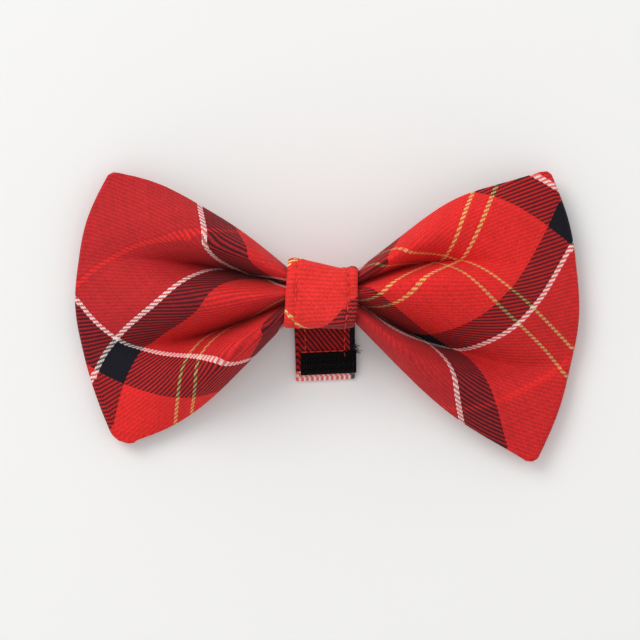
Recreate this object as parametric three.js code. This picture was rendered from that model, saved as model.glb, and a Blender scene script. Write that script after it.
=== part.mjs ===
// Bow tie for a pet's collar: a folded cloth bow, the band round its pinched middle, and the strap
// with hook and loop patches that closes round the collar.
// Millimetres. +X runs along the bow, +Y towards its top edge, +Z out of its front.
// The bow lies on its back, so its lowest cloth is at z = 0.
import * as THREE from 'three';
import { mergeVertices } from 'three/addons/utils/BufferGeometryUtils.js';

// Driving dimensions
const GAP = 0.3;               // clearance between neighbouring pieces
const CLOTH_WALL = 1.5;        // doubled and pressed cloth of the bow
const KNOT = { x: -1.5, y: 5.3, width: 16.4, height: 17, back: 7.8, front: 20.8, wall: 1.6,
  outerCorner: 2.8, innerCorner: 1.2 };
const STRAP = { x: -0.6, width: 13.2, wall: 1.5, end: -15.2, top: 13, sewn: 3.4, bend: 3.3 };
// hookInset: from the strap's free end. loopInset: from the knot's bottom. shift: a little off the middle.
const PATCH = { width: 12, height: 4.8, hook: 1.4, loop: 1.2, hookInset: 1.4, loopInset: 0.8, shift: 0.4 };

// The pinched middle, inside the band
const PINCH = { halfHeight: 6.5, edgeZ: 13.4, ridgeZ: 16.1, valleyZ: 12.5 };
const PINCH_HOLLOW = 0.2;      // half of the slit that is left between the panels there

// One row for each fold of the cloth, from the bottom edge to the top edge. reach: from the band's side
// to the outer end. Then y and z of the middle of the loop at 1/4, 1/2, 3/4 and all of that way.
const FOLDS = ['reach', 'y1', 'y2', 'y3', 'y4', 'z1', 'z2', 'z3', 'z4'];
const LEFT_WING = {
  bottom_edge:  [40.2, -11.4, -20.8, -26.5, -28.7, 11.5,  9.0, 7.0, 5.5],
  lower_ridge:  [45.5,  -6.9, -13.5, -17.3, -18.3, 15.5, 12.0, 8.0, 4.0],
  lower_valley: [48.7,  -1.7,  -5.2,  -7.1,  -7.8,  9.0,  7.5, 6.5, 3.6],
  centre_ridge: [50.4,   4.0,   3.6,   3.1,   2.6, 16.5, 13.0, 8.5, 3.6],
  upper_valley: [49.6,  10.7,  12.8,  13.5,  13.1,  9.5,  8.5, 7.0, 3.6],
  upper_ridge:  [47.3,  15.2,  19.0,  21.6,  23.5, 16.5, 14.0, 9.0, 4.0],
  top_edge:     [42.3,  19.4,  25.9,  31.2,  34.0, 12.5, 10.0, 7.0, 5.0],
};
const RIGHT_WING = {
  bottom_edge:  [43.2, -11.9, -21.6, -28.7, -34.5, 11.5,  9.5,  7.0, 5.5],
  lower_ridge:  [48.2,  -8.1, -15.7, -21.1, -23.1, 15.0, 11.5,  8.0, 4.0],
  lower_valley: [51.3,  -4.0,  -8.6, -11.9, -11.6,  7.5,  5.5,  6.0, 3.8],
  centre_ridge: [53.2,   7.4,   7.4,   3.8,  -0.2, 18.0, 16.5, 11.0, 4.0],
  upper_valley: [52.6,  11.9,  12.8,  11.9,  11.3, 10.0, 10.5,  8.5, 3.8],
  upper_ridge:  [50.6,  15.9,  20.9,  22.3,  22.8, 16.0, 13.5,  9.0, 4.5],
  top_edge:     [46.3,  19.2,  26.8,  30.9,  34.2, 12.5, 11.0,  8.0, 6.0],
};
// Half of the hollow, at the band and at 1/4, 1/2, 3/4 and all of the way out
const PUFF = { front: [PINCH_HOLLOW, 1.8, 3.2, 4.0, 4.0], back: [PINCH_HOLLOW, 3.0, 6.0, 7.0, 6.0] };
const STEEP = 1.75;            // most that a steep fold thickens the wall, measured along z
const FLATTENING = 0.5;        // how softly the back flattens on the surface under it

const STEPS_OUT = 12;          // mesh steps from the band to the outer end
const STEPS_FOLD = 4;          // mesh steps from one fold line to the next
const STEPS_CORNER = 6;        // mesh steps round a rounded corner or bend
const SLOPE_STEP = 0.02;       // share of a panel over which its slope is measured
const MERGE = 1e-4;            // points closer than this are one

const CRIMSON = 0xb4262b;
const MAROON = 0x7a2226;
const BLACK = 0x141315;

// Smooth value at place t along evenly spaced values
function smooth(values, t) {
  const last = values.length - 1;
  const i = Math.min(Math.floor(t * last), last - 1);
  const s = t * last - i;
  const [b, c] = [values[i], values[i + 1]];
  const a = i > 0 ? values[i - 1] : 2 * b - c;
  const d = i + 2 <= last ? values[i + 2] : 2 * c - b;
  return b + 0.5 * s * (c - a + s * (2 * a - 5 * b + 4 * c - d + s * (3 * (b - c) + d - a)));
}

// Middle of the loop at share `out` of the way from the band and share `up` of the cloth's height
function middle(table, side, out, up) {
  const names = Object.keys(table);
  const column = (name) => names.map((fold) => table[fold][FOLDS.indexOf(name)]);
  const last = names.length - 1;
  const pinchY = names.map((_, i) => KNOT.y + PINCH.halfHeight * (2 * i / last - 1));
  const pinchZ = names.map((_, i) => (i % last === 0 ? PINCH.edgeZ : i % 2 ? PINCH.ridgeZ : PINCH.valleyZ));
  const along = (pinched, letter) => {
    const stations = [pinched, ...[1, 2, 3, 4].map((station) => column(letter + station))];
    return smooth(stations.map((values) => smooth(values, up)), out);
  };
  const x = KNOT.x + side * (KNOT.width / 2 + out * smooth(column('reach'), up));
  return new THREE.Vector3(x, along(pinchY, 'y'), along(pinchZ, 'z'));
}

// Wall of the cloth measured along z, which grows on a steep slope
function wallAlongZ(table, side, out, up) {
  const [low, high] = [Math.max(up - SLOPE_STEP, 0), Math.min(up + SLOPE_STEP, 1)];
  const [near, far] = [Math.max(out - SLOPE_STEP, 0), Math.min(out + SLOPE_STEP, 1)];
  const across = middle(table, side, out, high).sub(middle(table, side, out, low));
  const along = middle(table, side, far, up).sub(middle(table, side, near, up));
  const normal = across.cross(along).normalize();
  return CLOTH_WALL * Math.min(1 / Math.abs(normal.z), STEEP);
}

// Points of one ring round the loop: the outer skin, then the inner skin
function ring(up) {
  const skins = [[], []];
  const panel = (table, side, face, inwards) => {
    const steps = Array.from({ length: STEPS_OUT + 1 }, (_, i) => (inwards ? STEPS_OUT - i : i));
    for (const step of steps) {
      if (face === 'back' && step === STEPS_OUT) continue;
      const turn = step / STEPS_OUT * Math.PI / 2;
      const out = Math.sin(turn);
      const centre = middle(table, side, out, up);
      const sign = face === 'front' ? 1 : -1;
      const hollow = smooth(PUFF[face], out);
      const wall = wallAlongZ(table, side, out, up);
      const raw = centre.z + sign * (hollow + wall) * Math.cos(turn);
      const rested = FLATTENING * Math.log(1 + Math.exp(raw / FLATTENING));
      skins[0].push(new THREE.Vector3(centre.x, centre.y, rested));
      const inner = centre.z + sign * hollow * Math.cos(turn) + rested - raw;
      skins[1].push(new THREE.Vector3(centre.x - side * out * CLOTH_WALL, centre.y, inner));
    }
  };
  panel(LEFT_WING, -1, 'front', true);
  panel(RIGHT_WING, 1, 'front', false);
  panel(RIGHT_WING, 1, 'back', true);
  panel(LEFT_WING, -1, 'back', false);
  return skins;
}

// Closed body between the two skins, with a rim along the top and the bottom edge of the cloth
function bowGeometry() {
  const rows = STEPS_FOLD * (Object.keys(LEFT_WING).length - 1);
  const rings = Array.from({ length: rows + 1 }, (_, j) => ring(j / rows));
  const count = rings[0][0].length;
  const positions = [];
  const quad = (a, b, c, d) => [a, b, c, a, c, d].forEach((p) => positions.push(p.x, p.y, p.z));
  for (let i = 0; i < count; i++) {
    const next = (i + 1) % count;
    for (let j = 0; j < rows; j++) {
      const [outer, inner] = rings[j];
      const [outerUp, innerUp] = rings[j + 1];
      quad(outer[i], outer[next], outerUp[next], outerUp[i]);
      quad(inner[next], inner[i], innerUp[i], innerUp[next]);
    }
    const [outerLow, innerLow] = rings[0];
    const [outerTop, innerTop] = rings[rows];
    quad(outerLow[next], outerLow[i], innerLow[i], innerLow[next]);
    quad(outerTop[i], outerTop[next], innerTop[next], innerTop[i]);
  }
  const geometry = new THREE.BufferGeometry();
  geometry.setAttribute('position', new THREE.Float32BufferAttribute(positions, 3));
  const closed = mergeVertices(geometry, MERGE);
  closed.computeVertexNormals();
  return closed;
}

// Rounded rectangle round (0, 0)
function roundedRectangle(path, width, height, radius) {
  const [w, h] = [width / 2 - radius, height / 2 - radius];
  path.absarc(w, h, radius, 0, Math.PI / 2);
  path.absarc(-w, h, radius, Math.PI / 2, Math.PI);
  path.absarc(-w, -h, radius, Math.PI, 1.5 * Math.PI);
  path.absarc(w, -h, radius, 1.5 * Math.PI, 2 * Math.PI);
  path.closePath();
  return path;
}

// A section drawn in (y, z), swept along x over `width` round x = 0
function alongX(section, width) {
  const options = { depth: width, bevelEnabled: false, curveSegments: STEPS_CORNER };
  const geometry = new THREE.ExtrudeGeometry(section, options);
  geometry.translate(0, 0, -width / 2);
  return geometry.applyMatrix4(new THREE.Matrix4().makeBasis(
    new THREE.Vector3(0, 1, 0), new THREE.Vector3(0, 0, 1), new THREE.Vector3(1, 0, 0)));
}

function knotGeometry() {
  const { width, height, wall, outerCorner, innerCorner } = KNOT;
  const depth = KNOT.front - KNOT.back;
  const section = roundedRectangle(new THREE.Shape(), height, depth, outerCorner);
  section.holes.push(roundedRectangle(new THREE.Path(), height - 2 * wall, depth - 2 * wall, innerCorner));
  return alongX(section, width);
}

// The strap lies flat, bends up behind the knot and is sewn flat under its top
function strapGeometry() {
  const { wall, end, bend } = STRAP;
  const half = wall / 2;
  const rise = KNOT.back - GAP - wall;
  const angle = Math.acos(1 - rise / (2 * bend));
  const sewn = STRAP.top - STRAP.sewn;
  const start = sewn - 2 * bend * Math.sin(angle);
  const section = new THREE.Shape();
  section.moveTo(end, 0);
  section.lineTo(start, 0);
  section.absarc(start, half + bend, bend + half, -Math.PI / 2, angle - Math.PI / 2, false);
  section.absarc(sewn, half + rise - bend, bend - half, angle + Math.PI / 2, Math.PI / 2, true);
  section.lineTo(STRAP.top, rise);
  section.lineTo(STRAP.top, rise + wall);
  section.lineTo(sewn, rise + wall);
  section.absarc(sewn, half + rise - bend, bend + half, Math.PI / 2, angle + Math.PI / 2, false);
  section.absarc(start, half + bend, bend - half, angle - Math.PI / 2, -Math.PI / 2, true);
  section.lineTo(end, wall);
  section.closePath();
  return alongX(section, STRAP.width);
}

function cloth(name, geometry, color) {
  const material = new THREE.MeshStandardMaterial({ color, roughness: 0.85, metalness: 0 });
  const mesh = new THREE.Mesh(geometry, material);
  mesh.name = name;
  return mesh;
}

const bow = cloth('bow', bowGeometry(), CRIMSON);

const knotBand = cloth('knot_band', knotGeometry(), CRIMSON);
knotBand.position.set(KNOT.x, KNOT.y, (KNOT.back + KNOT.front) / 2);

const strap = cloth('strap', strapGeometry(), MAROON);
strap.position.x = STRAP.x;

const hookPatch = cloth('hook_patch', new THREE.BoxGeometry(PATCH.width, PATCH.height, PATCH.hook), BLACK);
const hookY = STRAP.end + PATCH.hookInset + PATCH.height / 2;
hookPatch.position.set(STRAP.x + PATCH.shift, hookY, STRAP.wall + GAP + PATCH.hook / 2);

const loopPatch = cloth('loop_patch', new THREE.BoxGeometry(PATCH.width, PATCH.height, PATCH.loop), BLACK);
const loopY = KNOT.y - KNOT.height / 2 + PATCH.loopInset + PATCH.height / 2;
loopPatch.position.set(STRAP.x, loopY, KNOT.back - GAP - PATCH.loop / 2);

const group = new THREE.Group();
group.add(bow, knotBand, strap, hookPatch, loopPatch);

// Origin under the middle of the whole thing
const box = new THREE.Box3().setFromObject(group);
const centre = box.getCenter(new THREE.Vector3());
group.position.set(-centre.x, -centre.y, -box.min.z);
group.updateMatrixWorld(true);

export default group;
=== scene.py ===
"""Looks of the pet bow tie: tartan twill cloth, stitches, hook and loop tape, floor, light, camera."""
import math

import bpy
import numpy as np
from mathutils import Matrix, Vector


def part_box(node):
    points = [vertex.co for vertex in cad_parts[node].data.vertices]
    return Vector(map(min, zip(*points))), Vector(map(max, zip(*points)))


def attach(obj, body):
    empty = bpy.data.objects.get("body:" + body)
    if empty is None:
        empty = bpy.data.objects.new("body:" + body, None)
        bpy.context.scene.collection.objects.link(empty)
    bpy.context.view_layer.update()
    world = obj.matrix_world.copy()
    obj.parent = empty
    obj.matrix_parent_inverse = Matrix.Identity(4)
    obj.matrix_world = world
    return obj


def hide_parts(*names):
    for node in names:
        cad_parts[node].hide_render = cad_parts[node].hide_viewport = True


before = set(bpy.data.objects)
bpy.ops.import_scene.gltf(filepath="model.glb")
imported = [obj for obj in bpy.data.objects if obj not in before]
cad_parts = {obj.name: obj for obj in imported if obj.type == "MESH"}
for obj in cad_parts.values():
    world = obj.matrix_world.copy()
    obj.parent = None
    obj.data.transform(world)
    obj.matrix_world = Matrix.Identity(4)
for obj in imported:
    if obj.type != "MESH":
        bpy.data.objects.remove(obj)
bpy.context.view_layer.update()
rng = np.random.default_rng(7)

# ---------------------------------------------------------------- sizes, metres
MM = 0.001
KNOT_LOW, KNOT_HIGH = (np.array(corner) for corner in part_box("knot_band"))
STRAP_LOW, STRAP_HIGH = (np.array(corner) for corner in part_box("strap"))
LOOP_LOW, LOOP_HIGH = (np.array(corner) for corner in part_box("loop_patch"))

CLOTH = 0.75 * MM          # wall of the bow's doubled cloth
BAND_CLOTH = 1.3 * MM      # wall of the knot's folded band
STRAP_CLOTH = 1.3 * MM     # wall of the strap's folded cloth
END_FOLD = 1.3 * MM        # how far the soft fold at each outer end bulges past its panels
FLOOR_CLEAR = 0.05 * MM
BOW_MIDDLE = 0.15          # mm, where y = 0 of the fold tables lies in the frame
FRONT_LOWEST = 2.0         # mm, the least height of the front cloth's middle
PANEL_GAP = 1.0            # mm, the least distance between the front and back cloths' middles
PINCHED_GAP = 2.0          # mm, the same at the band
END_GAP = 2.2              # mm, the same at the outer ends
END_TURN = 3               # mm of flat cloth in the fold at each outer end
BACK_WAVES = (0.3, 2.6)    # mm, the least and the added height of the loose back cloth's waves
BACK_EDGES = 3.0           # mm, how far the back cloth's long edges lift at the band

# The bow's folds, in mm. "reach" is how far each fold runs from the band to the outer end. "y", from the
# outline's middle, and "z", above the floor, have one row for each fold, from the bottom edge to the top
# edge, with its values at the band, at 1/4, 1/2 and 3/4 of the way, and at the outer end. "pivot" places
# the tartan on the wing, "tucks" are the cloth hidden in its valleys at the band and how fast that fades
# outwards, and "corners" are the radii of its lower and upper outer corner.
STATIONS = (0, 0.25, 0.5, 0.75, 1)
FOLDS = ("bottom_edge", "lower_ridge", "lower_valley", "centre_ridge", "upper_valley", "upper_ridge",
         "top_edge")
LEFT_WING = {
    "side": -1,
    "reach": (41.0, 45.7, 48.7, 50.4, 49.6, 47.3, 42.3),
    "y": ((-1.2, -11.4, -20.8, -27.0, -30.2),
          (0.9, -6.9, -13.5, -17.3, -18.3),
          (3.0, -1.7, -5.2, -7.1, -7.8),
          (5.3, 4.0, 3.6, 3.1, 2.6),
          (7.5, 10.7, 12.8, 13.5, 13.1),
          (9.7, 15.2, 19.0, 21.6, 23.5),
          (11.2, 19.4, 25.9, 31.2, 34.0)),
    "z": ((12, 11, 6, 4, 4),
          (18.5, 18, 14.5, 9, 4.5),
          (10, 3, 3, 5.5, 4.5),
          (19, 19.5, 17, 11.5, 5),
          (10, 3, 6.5, 8.5, 5),
          (18.5, 19, 17.5, 12.5, 6),
          (12, 12, 10, 7.5, 6)),
    "pivot": (-3.8, 34.6),
    "tucks": {"lower": 13.0, "upper": -5.0, "fade": 2.3},
    "corners": (2.8, 0.7),
}
RIGHT_WING = {
    "side": 1,
    "reach": (43.2, 48.2, 51.3, 53.2, 52.6, 50.6, 46.3),
    "y": ((-1.2, -11.9, -21.6, -28.7, -34.5),
          (0.9, -8.1, -15.7, -21.1, -23.1),
          (3.0, -4.0, -8.6, -11.9, -11.6),
          (5.3, 7.4, 7.4, 3.8, -0.2),
          (7.5, 11.9, 12.8, 11.9, 11.3),
          (8.6, 15.7, 20.9, 22.3, 22.8),
          (10.2, 18.9, 26.8, 30.9, 34.2)),
    "z": ((12, 11, 8, 6, 5),
          (18, 17, 13, 9, 5),
          (10, 3, 2.5, 4, 4.5),
          (19, 21, 19.5, 13.5, 5.5),
          (10, 7, 12, 12, 5.5),
          (18.5, 18.5, 16.5, 12.5, 6.5),
          (12, 12, 11, 9, 7)),
    "pivot": (4.7, 31.8),
    "tucks": {"lower": 34.0, "upper": 0.0, "fade": 4.2},
    "corners": (0.8, 0.6),
}
TUCK_BANDS = {"lower": (0.295, 0.365), "upper": (0.635, 0.705)}    # shares of the height with the tucks
CREASE = 0.62              # how sharp the valleys are, from 0, round, to 1

# The tartan, in mm from the middle of its pair of yellow lines to the next mirror line
WARP_SETT = (("bright", 1.65), ("yellow", 2.55), ("bright", 17.3), ("black", 24.4), ("white", 25.6),
             ("dull", 41.1), ("bright", 42.3), ("dull", 60.0))
WEFT_SETT = (("bright", 1.9), ("yellow", 2.9), ("bright", 21.5), ("black", 30.6), ("white", 31.8),
             ("dull", 51.7))
YARNS = {
    "bright": (0.67, 0.019, 0.018),
    "dull": (0.43, 0.016, 0.019),
    "black": (0.006, 0.006, 0.012),
    "white": (0.82, 0.66, 0.64),
    "yellow": (0.66, 0.40, 0.14),
}
WARP_PITCH = 0.30
WEFT_PITCH = 0.36
SHOW_THROUGH = 0.13        # share of each crossing where the lower yarn shows
STRAP_WARP = (("black", 34.4), ("bright", 60.0))
STRAP_WEFT = (("white", 1.5), ("black", 15.5), ("bright", 60.0))

# The knot's band, in mm of the frame and as shares of its width, from left to right
KNOT_TOP = (13.75, 11.5)
KNOT_BOTTOM = -2.75
KNOT_LEFT = (-9.6, -8.5)           # at the bottom and at the top
KNOT_RIGHT = (5.8, 6.5)
KNOT_SEAMS = (0.115, 0.895)
KNOT_PIVOT = (-16.2, -8.6)
KNOT_ROUND = (0.42, 0.5)           # powers of the band's rounded section in y and z, below 1 is squarer
KNOT_CROWN, KNOT_FLATTEN = 0.55, 0.35    # mm, rise of the front's middle and fall of all of the front
GROOVE, GROOVE_WIDTH = 0.58, 0.42        # mm, depth and half width of a topstitched groove
RIM, RIM_PLACE, RIM_WIDTH = 0.16, 1.0, 0.5    # mm, the puckered rims beside each groove
KNOT_DENTS = 0.09                  # mm

# The strap and its patches, in mm of the frame
STRAP_TOP, STRAP_SEWN, STRAP_LANDED = 10.9, 8.6, -1.0
STRAP_LEFT = (-7.6, -6.9)          # at the knot and at the free end
STRAP_RIGHT = (6.05, 6.05)
STRAP_SEAMS = (0.13, 0.86)
STRAP_SLANT = 0.6                  # mm, how much further down the free end's left corner is
STRAP_GROOVE, STRAP_GROOVE_WIDTH = 0.22, 0.4    # mm
STRAP_WAVES = 0.05                 # mm
STRAP_ACROSS = 13                  # mm, its width, for the grooves
STRAP_PIVOT = 40                   # mm, places the strap's stripes
TAPE_LEFT, TAPE_RIGHT, TAPE_TOP, TAPE_BOTTOM = -6.1, 6.8, -9.05, -13.9
TAPE_SKEW = 0.6
TAPE_WALL = 0.5 * MM
THREAD = 0.19 * MM                 # radius of the sewing thread
STITCH_PITCH = 2.2 * MM
STITCH_SHARE = 0.72
STITCH_LIFT = 0.22 * MM
HOOK_ROWS, HOOK_COLUMNS = 7, 21
HOOK_START, HOOK_PITCH = (0.5, 0.45), (0.585, 0.46)    # mm, in x and y
HOOK_STAGGER = 0.2                 # mm, shift of every second row
HOOK_SCATTER = 0.03                # mm
HOOK_STEM, HOOK_TOP, HOOK_REACH = 0.32 * MM, 0.40 * MM, 0.16 * MM
HOOK_WIRE, LOOP_WIRE = 0.10 * MM, 0.035 * MM           # radii
LOOPS = 420
LOOP_MARGIN = 0.4 * MM
LOOP_WIDTHS, LOOP_DEPTHS = (0.2, 0.4), (0.3, 0.6)      # mm, least and most
HEM_STEP, HEM_LENGTH = 1.75, 1.5   # mm, the stitches above the hook tape
HEM_ABOVE, HEM_SLOPE = 0.75, 0.04  # mm over the tape's upper edge, and its rise for each mm in x


# ---------------------------------------------------------------- small helpers
def spline_weights(knots, places):
    """Weights that turn values at the knots into a natural cubic spline's values at the places."""
    knots = np.asarray(knots, float)
    count = len(knots)
    step = np.diff(knots)
    left, right = np.eye(count), np.zeros((count, count))
    for i in range(1, count - 1):
        left[i, i - 1:i + 2] = step[i - 1], 2 * (step[i - 1] + step[i]), step[i]
        right[i, i - 1:i + 2] = 6 / step[i - 1], -6 / step[i - 1] - 6 / step[i], 6 / step[i]
    bend = np.linalg.solve(left, right)
    i = np.clip(np.searchsorted(knots, places, side="right") - 1, 0, count - 2)
    ahead, behind, h = (places - knots[i])[:, None], (knots[i + 1] - places)[:, None], step[i][:, None]
    same = np.eye(count)
    return (bend[i] * (behind ** 3 / (6 * h) - behind * h / 6)
            + bend[i + 1] * (ahead ** 3 / (6 * h) - ahead * h / 6)
            + same[i] * behind / h + same[i + 1] * ahead / h)


def smoothed(grid, sigma, axis):
    """Gaussian blur along one axis that keeps the slope at the ends."""
    reach = int(4 * sigma + 1)
    weights = np.exp(-0.5 * (np.arange(-reach, reach + 1) / sigma) ** 2)
    weights /= weights.sum()
    rows = np.moveaxis(grid, axis, 0)
    padded = np.concatenate([2 * rows[0] - rows[reach:0:-1], rows, 2 * rows[-1] - rows[-2:-reach - 2:-1]])
    return np.moveaxis(sum(w * padded[k:k + len(rows)] for k, w in enumerate(weights)), 0, axis)


def ease(t):
    t = np.clip(t, 0, 1)
    return t * t * (3 - 2 * t)


def normals_of(grid, closed=True):
    """Unit normals of a grid of points that is closed along its first axis."""
    if closed:
        along = np.roll(grid, -1, 0) - np.roll(grid, 1, 0)
    else:
        along = np.gradient(grid, axis=0)
    across = np.gradient(grid, axis=1)
    normal = np.cross(along, across)
    return normal / np.maximum(np.linalg.norm(normal, axis=-1, keepdims=True), 1e-12)


def new_mesh(name, points, faces, uv=None):
    mesh = bpy.data.meshes.new(name)
    mesh.from_pydata([tuple(p) for p in points], [], [tuple(f) for f in faces])
    if uv is not None:
        layer = mesh.uv_layers.new(name="cloth")
        corners = np.empty(len(mesh.loops), dtype=np.int32)
        mesh.loops.foreach_get("vertex_index", corners)
        layer.uv.foreach_set("vector", np.asarray(uv, np.float32)[corners].ravel())
    mesh.polygons.foreach_set("use_smooth", np.ones(len(mesh.polygons), bool))
    mesh.update()
    piece = bpy.data.objects.new(name, mesh)
    bpy.context.scene.collection.objects.link(piece)
    return piece


def shell(name, middle, cloth, wall, rim_steps=4):
    """Closed cloth of a given wall round a ring of middle points (ring, across), with round rims."""
    ring, across = middle.shape[:2]
    normal = normals_of(middle)
    rows, uvs = [], []
    for j in range(across):
        rows.append(middle[:, j] + normal[:, j] * wall / 2)
        uvs.append(cloth[:, j])
    edge = middle[:, -1] - middle[:, -2]
    edge /= np.linalg.norm(edge, axis=-1, keepdims=True)
    for k in range(1, rim_steps):
        turn = math.pi * k / rim_steps
        rows.append(middle[:, -1] + (normal[:, -1] * math.cos(turn) + edge * math.sin(turn)) * wall / 2)
        uvs.append(cloth[:, -1])
    for j in reversed(range(across)):
        rows.append(middle[:, j] - normal[:, j] * wall / 2)
        uvs.append(cloth[:, j])
    edge = middle[:, 0] - middle[:, 1]
    edge /= np.linalg.norm(edge, axis=-1, keepdims=True)
    for k in range(1, rim_steps):
        turn = math.pi * k / rim_steps
        rows.append(middle[:, 0] + (-normal[:, 0] * math.cos(turn) + edge * math.sin(turn)) * wall / 2)
        uvs.append(cloth[:, 0])
    points = np.stack(rows).reshape(-1, 3)
    count = len(rows)
    r, i = np.meshgrid(np.arange(count), np.arange(ring), indexing="ij")
    faces = np.stack([r * ring + i, r * ring + (i + 1) % ring,
                      (r + 1) % count * ring + (i + 1) % ring, (r + 1) % count * ring + i], -1).reshape(-1, 4)
    return new_mesh(name, points, faces, np.stack(uvs).reshape(-1, 2))


# ---------------------------------------------------------------- the bow
def between_folds(table, up):
    """Rows of a fold table, read in straight lines between the folds."""
    last = len(table) - 1
    i = np.clip((up * last).astype(int), 0, last - 1)
    share = (up * last - i)[:, None]
    return table[i] + (table[i + 1] - table[i]) * share


def between_heights(table, up):
    """Heights between the folds: round over each ridge, sharper in each valley."""
    last = len(table) - 1
    i = np.clip((up * last).astype(int), 0, last - 1)
    share = (up * last - i)[:, None]
    from_ridge = (i % 2 == 1)[:, None]
    way = np.where(from_ridge, share, 1 - share)
    ridge = np.where(from_ridge, table[i], table[i + 1])
    valley = np.where(from_ridge, table[i + 1], table[i])
    fall = (1 - CREASE) * way * way * (3 - 2 * way) + CREASE * way ** 3.2
    return ridge + (valley - ridge) * fall


def front_panel(wing, out, up):
    """Middle of the front cloth, in mm: points (up, out)."""
    along = spline_weights(STATIONS, out)
    reach = spline_weights(np.linspace(0, 1, len(FOLDS)), up) @ np.array(wing["reach"])
    y = between_folds(np.array(wing["y"]) @ along.T, up)
    z = between_heights(np.array(wing["z"]) @ along.T, up)
    y = smoothed(y, len(up) / 60, 0) + BOW_MIDDLE
    z = smoothed(z, len(up) / 100, 0)
    z = FRONT_LOWEST + np.logaddexp(0, (z - FRONT_LOWEST) * 2) / 2
    band = KNOT_HIGH[0] if wing["side"] > 0 else KNOT_LOW[0]
    x = band / MM + wing["side"] * (reach[:, None] - END_FOLD / MM) * out[None, :]
    return np.stack([x, y, z], -1)


def corner_cut(y, out, radii):
    """How far each point is drawn in towards the band, in mm, so that the outer corners are round."""
    edge = y[:, -1]
    cut = np.zeros(len(edge))
    for radius, near in zip(radii, (edge - edge[0], edge[-1] - edge)):
        short = np.clip(1 - near / radius, 0, 1)
        cut += radius * (1 - np.sqrt(1 - short ** 2))
    return cut[:, None] * (out ** 14)[None, :]


def back_panel(front, out, up):
    """The back cloth under a front panel: pinched with it at the band, loose on the floor further out."""
    x, y, z = np.moveaxis(front, -1, 0)
    rest = CLOTH / MM / 2 + FLOOR_CLEAR / MM
    wave = 0.5 + 0.5 * np.cos(6 * np.pi * up)[:, None]
    edges = BACK_EDGES * np.abs(2 * up - 1)[:, None] ** 4 * (1 - out)
    lying = rest + (BACK_WAVES[0] + BACK_WAVES[1] * wave * (1 - out) ** 1.2) + edges
    end = z[:, -1:] - END_GAP
    loose = lying + (end - lying) * ease((out - 0.45) / 0.55)
    pinched = z - PINCHED_GAP
    depth = pinched + (loose - pinched) * ease(out / 0.5)
    highest = z - PANEL_GAP
    depth = highest - np.logaddexp(0, (highest - depth) * 3) / 3
    depth = rest + np.logaddexp(0, (depth - rest) * 3) / 3
    return np.stack([x, y, depth], -1)


def laid_flat(grid, rounds=1500):
    """Places (up, out) of the grid's points on flat cloth, found by relaxing its edges to their lengths."""
    lengths = {"out": np.linalg.norm(np.diff(grid, axis=1), axis=2),
               "up": np.linalg.norm(np.diff(grid, axis=0), axis=2),
               "rise": np.linalg.norm(grid[1:, 1:] - grid[:-1, :-1], axis=2),
               "fall": np.linalg.norm(grid[1:, :-1] - grid[:-1, 1:], axis=2)}
    sides = {"out": (np.s_[:, :-1], np.s_[:, 1:], 1.0), "up": (np.s_[:-1], np.s_[1:], 1.0),
             "rise": (np.s_[:-1, :-1], np.s_[1:, 1:], 0.7), "fall": (np.s_[:-1, 1:], np.s_[1:, :-1], 0.7)}
    start = np.zeros(grid.shape[:2])
    along, up = start.copy(), start.copy()
    along[:, 1:] = np.cumsum(lengths["out"], 1)
    up[1:] = np.cumsum(lengths["up"], 0)
    up -= up[len(up) // 2]
    flat = np.stack([along, up], -1)
    for _ in range(rounds):
        move, weight = np.zeros_like(flat), np.zeros(start.shape + (1,))
        for key, (first, second, share) in sides.items():
            apart = flat[second] - flat[first]
            length = np.linalg.norm(apart, axis=2, keepdims=True) + 1e-9
            pull = 0.5 * share * (1 - lengths[key][..., None] / length) * apart
            move[first] += pull
            move[second] -= pull
            weight[first] += share
            weight[second] += share
        flat += 1.6 * move / weight
    return flat


def laid_over(flat, grid, out, side):
    """Turns and shifts flat cloth so that its outer part lies over the same part of the grid."""
    flat = flat * (side, 1)
    outer = out > 0.6
    source, target = flat[:, outer].reshape(-1, 2), grid[:, outer, :2].reshape(-1, 2)
    middle, goal = source.mean(0), target.mean(0)
    left, _, right = np.linalg.svd((source - middle).T @ (target - goal))
    turn = right.T @ np.diag([1, np.sign(np.linalg.det(right.T @ left.T))]) @ left.T
    return (flat - middle) @ turn.T + goal


def on_bias(flat, pivot):
    """Warp and weft places of flat cloth whose threads run at 45 degrees to it."""
    return np.stack([(flat[..., 0] - flat[..., 1]) / math.sqrt(2) - pivot[0],
                     (flat[..., 0] + flat[..., 1]) / math.sqrt(2) - pivot[1]], -1)


def wing_cloth(wing, out, up):
    """Flat cloth places under a fine grid, from a coarse one."""
    coarse_out, coarse_up = np.linspace(0, 1, 33), np.linspace(0, 1, 49)
    coarse = front_panel(wing, coarse_out, coarse_up)
    flat = laid_over(laid_flat(coarse), coarse, coarse_out, wing["side"])
    fine = np.einsum("ij,jkc,lk->ilc", spline_weights(coarse_up, up), flat, spline_weights(coarse_out, out))
    fine = smoothed(fine, len(up) / 35, 0)
    for name, (start, stop) in TUCK_BANDS.items():
        past = ease((up - start) / (stop - start))
        shift = 1 - past if name == "lower" else past
        fine[..., 1] -= wing["tucks"][name] * shift[:, None] * ((1 - out) ** wing["tucks"]["fade"])[None, :]
    return fine


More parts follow.
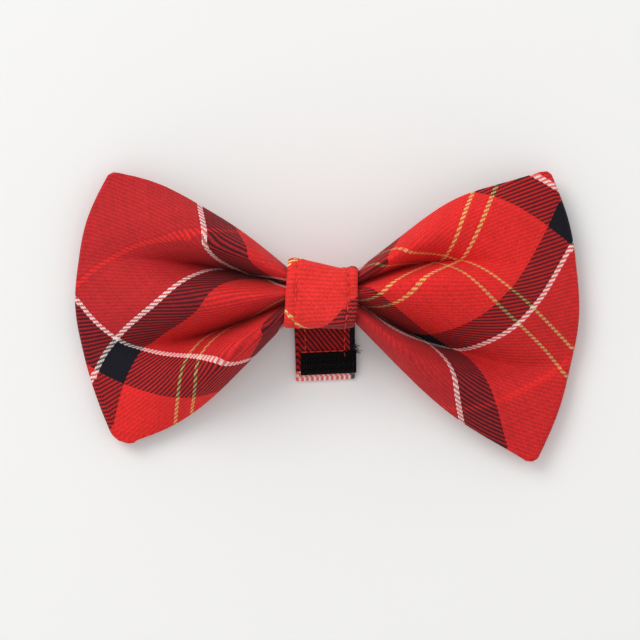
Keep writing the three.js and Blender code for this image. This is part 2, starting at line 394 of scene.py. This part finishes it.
def make_bow():
    steps_out, steps_up, steps_end, steps_band = 84, 121, 7, 6
    out, up = np.linspace(0, 1, steps_out), np.linspace(0, 1, steps_up)
    parts, cloths = {}, {}
    for wing in (LEFT_WING, RIGHT_WING):
        side = wing["side"]
        front = front_panel(wing, out, up)
        flat = wing_cloth(wing, out, up)
        cut = side * corner_cut(front[..., 1], out, wing["corners"])
        front[..., 0] -= cut
        flat[..., 0] -= cut
        back = back_panel(front, out, up)
        length = np.concatenate([np.zeros((steps_up, 1)),
                                 np.cumsum(np.linalg.norm(np.diff(back, axis=1), axis=2), 1)], 1)
        past = side * (length[:, -1:] - length)
        flat_back = np.stack([flat[:, -1:, 0] + past + side * END_TURN,
                              np.broadcast_to(flat[:, -1:, 1], past.shape)], -1)
        end, end_flat = [], []
        for k in range(1, steps_end + 1):
            turn = math.pi * k / (steps_end + 1)
            middle, half = (front[:, -1] + back[:, -1]) / 2, (front[:, -1] - back[:, -1]) / 2
            bulge = np.array([side * END_FOLD / MM * math.sin(turn), 0, 0])
            end.append(middle + half * math.cos(turn) + bulge)
            end_flat.append(flat[:, -1] + (flat_back[:, -1] - flat[:, -1]) * k / (steps_end + 1))
        loop = np.concatenate([front, np.stack(end, 1), back[:, ::-1]], 1)
        loop_flat = np.concatenate([flat, np.stack(end_flat, 1), flat_back[:, ::-1]], 1)
        parts[side], cloths[side] = loop, on_bias(loop_flat, wing["pivot"])

    def bridge(start, stop):
        shares = np.arange(1, steps_band) / steps_band
        return start[:, None] + (stop - start)[:, None] * shares[None, :, None]

    def ring_of(halves):
        """Left back, end and front, under the band, then right front, end and back, and round again."""
        left, right = halves[-1][:, ::-1], halves[1]
        ring = [left, bridge(left[:, -1], right[:, 0]), right, bridge(right[:, -1], left[:, 0])]
        return np.swapaxes(np.concatenate(ring, 1), 0, 1)

    return shell("bow_cloth", ring_of(parts) * MM, ring_of(cloths), CLOTH)


# ---------------------------------------------------------------- threads, stitches, hooks
def tube(path, radius, sides=6):
    """Points and faces of a closed tube along a path; radius is one value or one for each point."""
    path = np.asarray(path, float)
    radius = np.broadcast_to(radius, len(path))
    ahead = np.gradient(path, axis=0)
    ahead /= np.linalg.norm(ahead, axis=1, keepdims=True)
    side = np.cross(ahead, (0.31, 0.52, 0.79))
    side /= np.linalg.norm(side, axis=1, keepdims=True)
    up = np.cross(side, ahead)
    turn = 2 * math.pi * np.arange(sides) / sides
    spokes = side[:, None] * np.cos(turn)[None, :, None] + up[:, None] * np.sin(turn)[None, :, None]
    points = (path[:, None] + radius[:, None, None] * spokes).reshape(-1, 3)
    faces = [(i * sides + k, (i + 1) * sides + k,
              (i + 1) * sides + (k + 1) % sides, i * sides + (k + 1) % sides)
             for i in range(len(path) - 1) for k in range(sides)]
    first, last = list(range(sides)), [(len(path) - 1) * sides + k for k in reversed(range(sides))]
    return points, faces + [tuple(first), tuple(last)]


def joined(name, bodies):
    """One mesh of many (points, faces) bodies."""
    points, faces, start = [], [], 0
    for body_points, body_faces in bodies:
        points.append(body_points)
        faces += [tuple(start + k for k in face) for face in body_faces]
        start += len(body_points)
    return new_mesh(name, np.concatenate(points), faces)


def stitch(line, normal, lift):
    """One stitch along a short line on cloth: it rises out of the cloth and dives back into it."""
    share = np.linspace(0, 1, len(line))[:, None]
    path = line + normal * (lift * (4 * share * (1 - share)) - 0.6 * lift)
    return tube(path, THREAD * (0.55 + 0.45 * np.sin(math.pi * share[:, 0]) ** 0.5))


def stitches_along(line, normal):
    """A row of stitches along a finely sampled line."""
    steps = np.linalg.norm(np.diff(line, axis=0), axis=1)
    place = np.concatenate([[0], np.cumsum(steps)])
    bodies = []
    for k in range(int(place[-1] / STITCH_PITCH)):
        part = (k + np.array([0.1, 0.1 + STITCH_SHARE])) * STITCH_PITCH
        stations = np.linspace(*part, 7)
        points = np.stack([np.interp(stations, place, line[:, c]) for c in range(3)], -1)
        facing = np.stack([np.interp(stations, place, normal[:, c]) for c in range(3)], -1)
        sway = rng.normal(0, 0.04 * MM)
        points[:, 0] += sway * np.linspace(-1, 1, len(points))
        bodies.append(stitch(points, facing, STITCH_LIFT))
    return bodies


# ---------------------------------------------------------------- the knot's band
def knot_middle(round_steps, across):
    """Middle points (round, across) of the band round the bow, and their places on flat cloth."""
    turn = np.linspace(0, 2 * math.pi, 4 * round_steps + 1)[:-1]
    share = np.asarray(across)[None, :]
    top = KNOT_TOP[0] + (KNOT_TOP[1] - KNOT_TOP[0]) * ease(share * 1.15)
    top = top + 0.25 * np.exp(-((share - 0.95) / 0.07) ** 2)
    bottom = np.full_like(top, KNOT_BOTTOM)
    inset = BAND_CLOTH / MM / 2
    half_y, mid_y = (top - bottom) / 2 - inset, (top + bottom) / 2
    low_z, high_z = KNOT_LOW[2] / MM + inset, KNOT_HIGH[2] / MM - inset
    half_z, mid_z = (high_z - low_z) / 2, (high_z + low_z) / 2
    cos, sin = np.cos(turn)[:, None], np.sin(turn)[:, None]

    def soft(value, power):
        return np.sign(value) * np.abs(value) ** power

    # from the middle of the top edge over the front, down, and back up behind
    y = mid_y + half_y * soft(cos, KNOT_ROUND[0])
    z = mid_z + half_z * soft(sin, KNOT_ROUND[1]) * np.ones_like(share)
    z = z + np.where(sin > 0, KNOT_CROWN * sin * (1 - (2 * share - 1) ** 2) - KNOT_FLATTEN * sin, 0)
    rise = (y - KNOT_BOTTOM) / (KNOT_TOP[0] - KNOT_BOTTOM)
    left = KNOT_LEFT[0] + (KNOT_LEFT[1] - KNOT_LEFT[0]) * rise
    right = KNOT_RIGHT[0] + (KNOT_RIGHT[1] - KNOT_RIGHT[0]) * ease(rise * 2.5)
    x = left + (right - left) * share
    rough = np.stack([x, y, z], -1)
    # even steps round the band
    middle_line = rough[:, rough.shape[1] // 2]
    closed = np.concatenate([middle_line, middle_line[:1]])
    place = np.concatenate([[0], np.cumsum(np.linalg.norm(np.diff(closed, axis=0), axis=1))])
    wanted = np.arange(round_steps) / round_steps * place[-1]
    looped = np.concatenate([rough, rough[:1]])
    even = np.stack([np.stack([np.interp(wanted, place, looped[:, j, c]) for c in range(3)], -1)
                     for j in range(rough.shape[1])], 1)
    front = int(np.argmax(even[:, 0, 2] > even[:, 0, 2].max() - 0.3))
    centre_y = even[:, even.shape[1] // 2, 1]
    down = np.zeros(round_steps)
    steps = np.linalg.norm(np.diff(even[:, even.shape[1] // 2], axis=0), axis=1)
    down[1:] = np.cumsum(steps)
    down = centre_y[front] - (down - down[front])
    flat = np.stack([even[..., 0], np.broadcast_to(down[:, None], even.shape[:2])], -1)
    return even, flat, wanted


def dress_knot(even, across, wanted):
    """Presses the topstitch grooves, the puckers beside them and a few soft dents into the band."""
    normal = normals_of(even)
    across = np.asarray(across)
    width = KNOT_RIGHT[1] - KNOT_LEFT[0]
    lift = np.zeros(even.shape[:2])
    for seam in KNOT_SEAMS:
        apart = (across - seam) * width
        pucker = 0.55 + 0.45 * np.cos(2 * math.pi * wanted / STITCH_PITCH)[:, None]
        lift -= GROOVE * np.exp(-(apart / GROOVE_WIDTH) ** 2)[None, :] * pucker
        lift += RIM * np.exp(-((np.abs(apart) - RIM_PLACE) / RIM_WIDTH) ** 2)[None, :] * (1.3 - pucker)
    x, y = even[..., 0], even[..., 1]
    lift += KNOT_DENTS * (np.sin(0.9 * x + 0.55 * y + 0.8) + np.sin(0.5 * x - 0.8 * y))
    return even + normal * lift[..., None]


def make_knot():
    across = np.linspace(0, 1, 66)
    even, flat, wanted = knot_middle(200, across)
    middle = dress_knot(even, across, wanted)
    band = shell("knot_cloth", middle * MM, on_bias(flat, KNOT_PIVOT), BAND_CLOTH)
    bodies = []
    for seam in KNOT_SEAMS:
        near = [seam - 0.02, seam, seam + 0.02]
        line, _, _ = knot_middle(400, near)
        normal = normals_of(line)[:, 1]
        outer = line[:, 1] * MM + normal * (BAND_CLOTH / 2 - 0.14 * MM)
        bodies += stitches_along(np.concatenate([outer, outer[:1]]), np.concatenate([normal, normal[:1]]))
    return band, joined("knot_stitches", bodies)


# ---------------------------------------------------------------- the strap
def strip(name, middle, cloth, wall, steps=4):
    """Closed strip of cloth round an open grid of middle points (along, across), with round rims."""
    half = wall / 2
    normal = normals_of(middle, closed=False)
    turns = np.arange(1, steps) * math.pi / 2 / steps
    ahead = [middle[0] - middle[1], middle[-1] - middle[-2]]
    ahead = [edge / np.linalg.norm(edge, axis=-1, keepdims=True) for edge in ahead]
    rows = ([middle[0] + ahead[0] * half * math.sin(t) for t in turns[::-1]] + list(middle)
            + [middle[-1] + ahead[1] * half * math.sin(t) for t in turns])
    cloths = [cloth[0]] * len(turns) + list(cloth) + [cloth[-1]] * len(turns)
    facing = [normal[0]] * len(turns) + list(normal) + [normal[-1]] * len(turns)
    thick = [math.cos(t) for t in turns[::-1]] + [1.0] * len(middle) + [math.cos(t) for t in turns]
    points, uvs = [], []
    for row, up, share, place in zip(rows, facing, thick, cloths):
        right, left = row[-1] - row[-2], row[0] - row[1]
        right, left = right / np.linalg.norm(right), left / np.linalg.norm(left)
        points += list(row + up * half * share)
        points += [row[-1] + (up[-1] * math.cos(2 * t) + right * math.sin(2 * t)) * half * share
                   for t in turns]
        points += list((row - up * half * share)[::-1])
        points += [row[0] + (-up[0] * math.cos(2 * t) + left * math.sin(2 * t)) * half * share
                   for t in turns]
        uvs += list(place) + [place[-1]] * len(turns) + list(place[::-1]) + [place[0]] * len(turns)
    count = len(points) // len(rows)
    faces = [(i * count + k, (i + 1) * count + k,
              (i + 1) * count + (k + 1) % count, i * count + (k + 1) % count)
             for i in range(len(rows) - 1) for k in range(count)]
    start = (len(rows) - 1) * count
    faces += [tuple(range(count)), tuple(start + k for k in reversed(range(count)))]
    return new_mesh(name, np.array(points), faces, np.array(uvs))


def strap_path(steps):
    """Middle of the strap in (y, z), mm: flat under the knot's back, an S-bend down, flat to its end."""
    wall = (STRAP_HIGH[2] - STRAP_LOW[2]) / MM
    half = STRAP_CLOTH / MM / 2
    top, end = STRAP_TOP - half, STRAP_LOW[1] / MM + half
    high, low = wall - 0.1 - half, half + FLOOR_CLEAR / MM
    sewn, landed = STRAP_SEWN, STRAP_LANDED
    y = np.concatenate([np.linspace(top, sewn, 8)[:-1], np.linspace(sewn, landed, 40)[:-1],
                        np.linspace(landed, end, 24)])
    z = low + (high - low) * ease((y - landed) / (sewn - landed))
    place = np.concatenate([[0], np.cumsum(np.hypot(np.diff(y), np.diff(z)))])
    wanted = np.linspace(0, place[-1], steps)
    return np.interp(wanted, place, y), np.interp(wanted, place, z), wanted


def make_strap():
    y, z, place = strap_path(110)
    share = np.linspace(0, 1, 44)
    way = ease((y.max() - y) / (y.max() - y.min()))[:, None]
    left = STRAP_LEFT[0] + (STRAP_LEFT[1] - STRAP_LEFT[0]) * way
    right = STRAP_RIGHT[0] + (STRAP_RIGHT[1] - STRAP_RIGHT[0]) * way
    x = left + (right - left) * share[None, :]
    tilt = (1 - (x - left) / (right - left)) * STRAP_SLANT * way ** 3
    middle = np.stack([x, y[:, None] - tilt, np.broadcast_to(z[:, None], x.shape)], -1)
    lift = np.zeros(x.shape)
    for seam in STRAP_SEAMS:
        lift -= STRAP_GROOVE * np.exp(-((share - seam) * STRAP_ACROSS / STRAP_GROOVE_WIDTH) ** 2)[None, :]
    lift = lift + STRAP_WAVES * np.sin(1.3 * x + 0.7 * place[:, None])
    # where it lies on the floor it can't be pressed any lower
    lying = z[:, None] < z.min() + 0.3
    middle[..., 2] += np.where(lying, np.maximum(lift, -0.02), lift)
    flat = np.stack([STRAP_PIVOT - x, np.broadcast_to((place[-1] - place)[:, None], x.shape)], -1)
    piece = strip("strap_cloth", middle * MM, flat, STRAP_CLOTH)
    normal = normals_of(middle, closed=False)
    bodies = []
    for seam in STRAP_SEAMS:
        j = int(round(seam * (len(share) - 1)))
        keep = slice(12, len(y) - 14)
        outer = middle[keep, j] * MM + normal[keep, j] * (STRAP_CLOTH / 2 + 0.06 * MM)
        bodies += stitches_along(outer, normal[keep, j])
    return piece, bodies


def tape_grid(low, high, height, skew=0.0):
    """Flat grid (along, across) for a tape patch between two corners, in metres."""
    y = np.linspace(high[1], low[1], 16)
    x = np.linspace(low[0], high[0], 34)
    across, down = np.meshgrid(x, y)
    share = (across - low[0]) / (high[0] - low[0])
    return np.stack([across, down + skew * share, np.full_like(across, height)], -1)


def make_hook_tape():
    """Woven base of the hook tape, sewn on the strap's free end, and its field of small hooks."""
    top = STRAP_CLOTH + 2 * FLOOR_CLEAR
    low = np.array([TAPE_LEFT, TAPE_BOTTOM, 0]) * MM
    high = np.array([TAPE_RIGHT, TAPE_TOP, 0]) * MM
    skew = TAPE_SKEW * MM
    middle = tape_grid(low, high, top + TAPE_WALL / 2, skew)
    base = strip("hook_tape", middle, middle[..., :2] / MM, TAPE_WALL)
    hooks = []
    for i in range(HOOK_ROWS):
        for j in range(HOOK_COLUMNS):
            x = low[0] + (HOOK_START[0] + j * HOOK_PITCH[0]) * MM + rng.normal(0, HOOK_SCATTER) * MM
            x += (i % 2) * HOOK_STAGGER * MM
            y = low[1] + (HOOK_START[1] + i * HOOK_PITCH[1]) * MM + rng.normal(0, HOOK_SCATTER) * MM
            y += skew * (x - low[0]) / (high[0] - low[0])
            way = 1 if (i // 2) % 2 else -1
            turn = np.linspace(0, 1.25 * math.pi, 7)
            stem = np.array([[x, y, top + TAPE_WALL * 0.8], [x, y, top + TAPE_WALL + HOOK_STEM]])
            curl = np.stack([np.full(7, x) + rng.normal(0, 0.02) * MM,
                             y + way * HOOK_REACH * (1 - np.cos(turn)),
                             top + TAPE_WALL + HOOK_TOP + HOOK_REACH * np.sin(turn)], -1)
            hooks.append(tube(np.concatenate([stem, curl]), HOOK_WIRE, 5))
    return base, joined("hook_tape_hooks", hooks)


def make_loop_tape():
    """Brushed loop tape on the knot's back, facing down to the hooks."""
    low, high = LOOP_LOW, LOOP_HIGH
    under = high[2] - TAPE_WALL / 2 + 0.1 * MM
    middle = tape_grid(low, high, under)[::-1]
    base = strip("loop_tape", middle, middle[..., :2] / MM, TAPE_WALL)
    loops = []
    face = under - TAPE_WALL / 2
    for _ in range(LOOPS):
        x = rng.uniform(low[0] + LOOP_MARGIN, high[0] - LOOP_MARGIN)
        y = rng.uniform(low[1] + LOOP_MARGIN, high[1] - LOOP_MARGIN)
        heading = rng.uniform(0, 2 * math.pi)
        width, depth = rng.uniform(*LOOP_WIDTHS) * MM, rng.uniform(*LOOP_DEPTHS) * MM
        turn = np.linspace(-0.3, math.pi + 0.3, 8)
        side = width * np.cos(turn)
        loops.append(tube(np.stack([x + side * math.cos(heading), y + side * math.sin(heading),
                                    face - depth * np.sin(turn)], -1), LOOP_WIRE, 4))
    return base, joined("loop_tape_pile", loops)


def loose_threads(name, start, heading, count, length, radius, spread):
    """Short yarns that curl away from a line between two starts, all in mm."""
    bodies = []
    for _ in range(count):
        ahead = np.array(heading) + rng.normal(0, spread, 3)
        ahead /= np.linalg.norm(ahead)
        bend = rng.normal(0, 0.6, 3)
        share = np.linspace(0, 1, 9)[:, None]
        reach = length * rng.uniform(0.55, 1.1)
        base = np.array(start[0]) + (np.array(start[1]) - np.array(start[0])) * rng.uniform(0, 1)
        path = (base + (ahead * share + bend * share ** 2 * 0.5) * reach) * MM
        path[:, 2] = np.maximum(path[:, 2], radius * MM * 1.2)
        bodies.append(tube(path, radius * MM * (1 - 0.5 * share[:, 0]), 5))
    return joined(name, bodies)


# ---------------------------------------------------------------- materials
def ramp_of(nodes, sett):
    ramp = nodes.new("ShaderNodeValToRGB")
    ramp.color_ramp.interpolation = "CONSTANT"
    length = sett[-1][1]
    start = 0.0
    for k, (yarn, end) in enumerate(sett):
        stop = ramp.color_ramp.elements[0] if k == 0 else ramp.color_ramp.elements.new(start / length)
        stop.position = start / length
        stop.color = (*YARNS[yarn], 1)
        start = end
    last = ramp.color_ramp.elements[len(ramp.color_ramp.elements) - 1]
    if last.position == 1.0:
        last.color = (*YARNS[sett[-1][0]], 1)
    return ramp


def tartan_material(name, warp_sett, weft_sett, tint=(1, 1, 1), bump=0.35):
    material = bpy.data.materials.new(name)
    material.use_nodes = True
    nodes, links = material.node_tree.nodes, material.node_tree.links
    shader = nodes["Principled BSDF"]

    def math_node(kind, first, second=None, third=None):
        node = nodes.new("ShaderNodeMath")
        node.operation = kind
        for slot, value in enumerate((first, second, third)):
            if value is None:
                continue
            if isinstance(value, (int, float)):
                node.inputs[slot].default_value = value
            else:
                links.new(value, node.inputs[slot])
        return node.outputs[0]

    place = nodes.new("ShaderNodeUVMap")
    place.uv_map = "cloth"
    split = nodes.new("ShaderNodeSeparateXYZ")
    links.new(place.outputs[0], split.inputs[0])
    threads = []
    for axis, pitch, sett in ((0, WARP_PITCH, warp_sett), (1, WEFT_PITCH, weft_sett)):
        count = math_node("DIVIDE", split.outputs[axis], pitch)
        index = math_node("FLOOR", count)
        inside = math_node("SUBTRACT", count, index)
        centre = math_node("MULTIPLY", math_node("ADD", index, 0.5), pitch)
        length = sett[-1][1]
        ramp = ramp_of(nodes, sett)
        links.new(math_node("DIVIDE", math_node("PINGPONG", centre, length), length), ramp.inputs[0])
        noise = nodes.new("ShaderNodeTexWhiteNoise")
        noise.noise_dimensions = "1D"
        links.new(math_node("ADD", index, 31.7 * axis), noise.inputs["W"])
        # each thread is darker towards its edges: painted shade of its round section, also used as its height
        # for the bump
        across = math_node("ABSOLUTE", math_node("SUBTRACT", inside, 0.5))
        edge = math_node("POWER", math_node("MULTIPLY", across, 2.0), 2.5)
        dome_and_edge_shade = math_node("SUBTRACT", 1.0, math_node("MULTIPLY", edge, 0.5))
        threads.append((index, ramp.outputs[0], noise.outputs["Value"], dome_and_edge_shade))
    step = math_node("FLOORED_MODULO", math_node("SUBTRACT", threads[0][0], threads[1][0]), 4.0)
    warp_up = math_node("MULTIPLY_ADD", math_node("LESS_THAN", step, 1.5), 1 - 2 * SHOW_THROUGH, SHOW_THROUGH)

    def pick(first, second, data_type="FLOAT"):
        node = nodes.new("ShaderNodeMix")
        node.data_type = data_type
        links.new(warp_up, node.inputs[0])
        a, b = (2, 3) if data_type == "FLOAT" else (6, 7)
        links.new(second, node.inputs[a])
        links.new(first, node.inputs[b])
        return node.outputs[0] if data_type == "FLOAT" else node.outputs[2]

    colour = pick(threads[0][1], threads[1][1], "RGBA")
    dome_and_edge_shade = pick(threads[0][3], threads[1][3])
    shade = pick(threads[0][2], threads[1][2])
    # lighter and darker stripes along the twill's diagonal wales: painted light and shade of the wales, also
    # used for the bump
    wale = math_node("SUBTRACT", math_node("DIVIDE", split.outputs[0], WARP_PITCH),
                     math_node("DIVIDE", split.outputs[1], WEFT_PITCH))
    twill_ripple_and_shade = math_node("COSINE", math_node("MULTIPLY", wale, math.pi / 2))
    coords = nodes.new("ShaderNodeTexCoord")
    mottle = nodes.new("ShaderNodeTexNoise")
    mottle.inputs["Scale"].default_value = 220
    mottle.inputs["Detail"].default_value = 3
    links.new(coords.outputs["Object"], mottle.inputs["Vector"])
    slub = nodes.new("ShaderNodeTexWhiteNoise")
    slub.noise_dimensions = "2D"
    along = nodes.new("ShaderNodeCombineXYZ")
    links.new(threads[0][0], along.inputs[0])
    links.new(threads[1][0], along.inputs[1])
    links.new(along.outputs[0], slub.inputs["Vector"])
    reds = []
    for thread in threads:
        channels = nodes.new("ShaderNodeSeparateColor")
        links.new(thread[1], channels.inputs[0])
        reds.append(channels.outputs[0])
    # a dark yarn also dulls the yarns that it crosses
    dulled = math_node("MINIMUM", math_node("MULTIPLY_ADD", math_node("MINIMUM", *reds), 2.0, 0.76), 1.0)
    light = dulled
    # the colour is scaled by random tone per thread and per spot, and by painted shade at each thread's edges
    # and along the twill's wales
    for source, gain, least in ((shade, 0.22, 0.89), (slub.outputs["Value"], 0.20, 0.90), (twill_ripple_and_shade, 0.12, 1.0),
                                (mottle.outputs["Fac"], 0.24, 0.88), (dome_and_edge_shade, 0.30, 0.80)):
        light = math_node("MULTIPLY", light, math_node("MULTIPLY_ADD", source, gain, least))
    scaled = nodes.new("ShaderNodeVectorMath")
    scaled.operation = "SCALE"
    links.new(colour, scaled.inputs[0])
    links.new(light, scaled.inputs["Scale"])
    tinted = nodes.new("ShaderNodeVectorMath")
    tinted.operation = "MULTIPLY"
    links.new(scaled.outputs[0], tinted.inputs[0])
    tinted.inputs[1].default_value = tint
    links.new(tinted.outputs[0], shader.inputs["Base Color"])
    height = math_node("ADD", math_node("MULTIPLY", twill_ripple_and_shade, 0.5), dome_and_edge_shade)
    relief = nodes.new("ShaderNodeBump")
    relief.inputs["Strength"].default_value = bump
    relief.inputs["Distance"].default_value = 0.12 * MM
    links.new(height, relief.inputs["Height"])
    links.new(relief.outputs[0], shader.inputs["Normal"])
    shader.inputs["Roughness"].default_value = 0.82
    shader.inputs["Specular IOR Level"].default_value = 0.18
    shader.inputs["Sheen Weight"].default_value = 0.05
    shader.inputs["Sheen Roughness"].default_value = 0.45
    shader.inputs["Sheen Tint"].default_value = (1.0, 0.55, 0.5, 1)
    return material


def plain_material(name, colour, roughness=0.8, grain=2500.0, depth=0.25, spread=0.25, gloss=0.5):
    material = bpy.data.materials.new(name)
    material.use_nodes = True
    nodes, links = material.node_tree.nodes, material.node_tree.links
    shader = nodes["Principled BSDF"]
    coords = nodes.new("ShaderNodeTexCoord")
    noise = nodes.new("ShaderNodeTexNoise")
    noise.inputs["Scale"].default_value = grain
    noise.inputs["Detail"].default_value = 4
    links.new(coords.outputs["Object"], noise.inputs["Vector"])
    ramp = nodes.new("ShaderNodeValToRGB")
    ramp.color_ramp.elements[0].color = (*(c * (1 - spread) for c in colour), 1)
    ramp.color_ramp.elements[1].color = (*(min(c * (1 + spread), 1) for c in colour), 1)
    links.new(noise.outputs["Fac"], ramp.inputs[0])
    links.new(ramp.outputs[0], shader.inputs["Base Color"])
    relief = nodes.new("ShaderNodeBump")
    relief.inputs["Strength"].default_value = depth
    relief.inputs["Distance"].default_value = 0.1 * MM
    links.new(noise.outputs["Fac"], relief.inputs["Height"])
    links.new(relief.outputs[0], shader.inputs["Normal"])
    shader.inputs["Roughness"].default_value = roughness
    shader.inputs["Specular IOR Level"].default_value = gloss
    return material


# ---------------------------------------------------------------- build
def place_piece(piece, slot, material, *nodes):
    piece.data.materials.append(material)
    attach(piece, "root")
    if nodes:
        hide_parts(*nodes)
    return piece


tartan = tartan_material("tartan_twill", WARP_SETT, WEFT_SETT)
# the band's copy of the tartan is lighter and paler than the bow's: painted light, as the band is the highest
# and most lit part
band_tartan = tartan_material("band_twill", WARP_SETT, WEFT_SETT, tint=(1.05, 1.5, 1.4), bump=0.18)
strap_tartan = tartan_material("strap_twill", STRAP_WARP, STRAP_WEFT)
thread_red = plain_material("sewing_thread", (0.72, 0.035, 0.02), 0.6, 4000.0, 0.3, 0.3)
tape_black = plain_material("woven_tape", (0.004, 0.0035, 0.0035), 0.85, 3000.0, 0.5, 0.6, 0.12)
hook_black = plain_material("hook_filament", (0.005, 0.0045, 0.004), 0.5, 2000.0, 0.1, 0.3, 0.3)
fray_dark = plain_material("frayed_yarn", (0.012, 0.012, 0.03), 0.85, 3000.0, 0.3, 0.5)

bow = place_piece(make_bow(), "bow_cloth", tartan, "bow")

knot, knot_stitches = make_knot()
place_piece(knot, "knot_cloth", band_tartan, "knot_band")
place_piece(knot_stitches, "knot_cloth", thread_red)

strap, strap_bodies = make_strap()
hem_height = STRAP_CLOTH / MM + 0.3
hem = []
for x in np.arange(TAPE_LEFT, TAPE_RIGHT - 2.5, HEM_STEP):
    y = TAPE_TOP + HEM_ABOVE + HEM_SLOPE * x
    line = np.linspace((x, y, hem_height), (x + HEM_LENGTH, y + HEM_SLOPE * HEM_LENGTH, hem_height), 7)
    hem.append(stitch(line * MM, np.array([0, 0, 1.0]), 0.2 * MM))
strap_stitches = joined("strap_stitches", strap_bodies + hem)
place_piece(strap, "strap_cloth", strap_tartan, "strap")
place_piece(strap_stitches, "strap_cloth", thread_red)
hook_base, hooks = make_hook_tape()
place_piece(hook_base, "hook_tape", tape_black, "hook_patch")
place_piece(hooks, "hook_tape", hook_black)
loop_base, pile = make_loop_tape()
place_piece(loop_base, "loop_tape", tape_black, "loop_patch")
place_piece(pile, "loop_tape", tape_black)
fray = loose_threads("frayed_yarns", start=((6.0, -6.6, 1.2), (6.2, -8.6, 1.3)), heading=(1.0, 0.1, 0.2),
                     count=34, length=1.5, radius=0.09, spread=0.55)
place_piece(fray, "strap_cloth", fray_dark)
tail = loose_threads("thread_tail", start=((4.1, -8.6, 1.9), (4.2, -8.7, 1.9)), heading=(0.35, -1.0, 0.15),
                     count=1, length=1.9, radius=0.09, spread=0.05)
place_piece(tail, "strap_cloth", thread_red)

# ---------------------------------------------------------------- floor, light, camera
FLOOR_HALF = 3.0
WINDOW_PLACE = (-0.7, 0.75, 1.0)
WINDOW_SIZE, WINDOW_POWER = 0.9, 9.0
WORLD_STRENGTH = 0.76
WIDTH_SEEN = 0.15206       # metres across the picture, at the height of FOCUS_HEIGHT
FOCUS_HEIGHT = 0.009
AIM = (-0.001704, -0.0008)

floor_mesh = bpy.data.meshes.new("floor")
floor_mesh.from_pydata([(x * FLOOR_HALF, y * FLOOR_HALF, 0) for x, y in ((-1, -1), (1, -1), (1, 1), (-1, 1))],
                       [], [(0, 1, 2, 3)])
floor = bpy.data.objects.new("floor", floor_mesh)
bpy.context.scene.collection.objects.link(floor)
paper = plain_material("paper", (0.86, 0.86, 0.855), 0.9, 40.0, 0.0, 0.005)
floor.data.materials.append(paper)
floor.location.z = -FLOOR_CLEAR

world = bpy.data.worlds.new("studio")
world.use_nodes = True
world.node_tree.nodes["Background"].inputs["Color"].default_value = (1.0, 1.0, 1.0, 1)
world.node_tree.nodes["Background"].inputs["Strength"].default_value = WORLD_STRENGTH
bpy.context.scene.world = world


def area_light(name, place, target, size, power, colour):
    data = bpy.data.lights.new(name, "AREA")
    data.shape = "DISK"
    data.size = size
    data.energy = power
    data.color = colour
    lamp = bpy.data.objects.new(name, data)
    lamp.location = place
    lamp.rotation_euler = (Vector(target) - Vector(place)).to_track_quat("-Z", "Y").to_euler()
    bpy.context.scene.collection.objects.link(lamp)


area_light("window", WINDOW_PLACE, (0, 0, 0), WINDOW_SIZE, WINDOW_POWER, (1.0, 0.99, 0.97))

camera_data = bpy.data.cameras.new("camera")
camera_data.lens = 135
camera_data.sensor_width = 36
camera_data.clip_start = 0.01
camera = bpy.data.objects.new("camera", camera_data)
camera.location = (AIM[0], AIM[1], FOCUS_HEIGHT + WIDTH_SEEN * camera_data.lens / camera_data.sensor_width)
bpy.context.scene.collection.objects.link(camera)
bpy.context.scene.camera = camera
bpy.context.scene.view_settings.view_transform = "Standard"
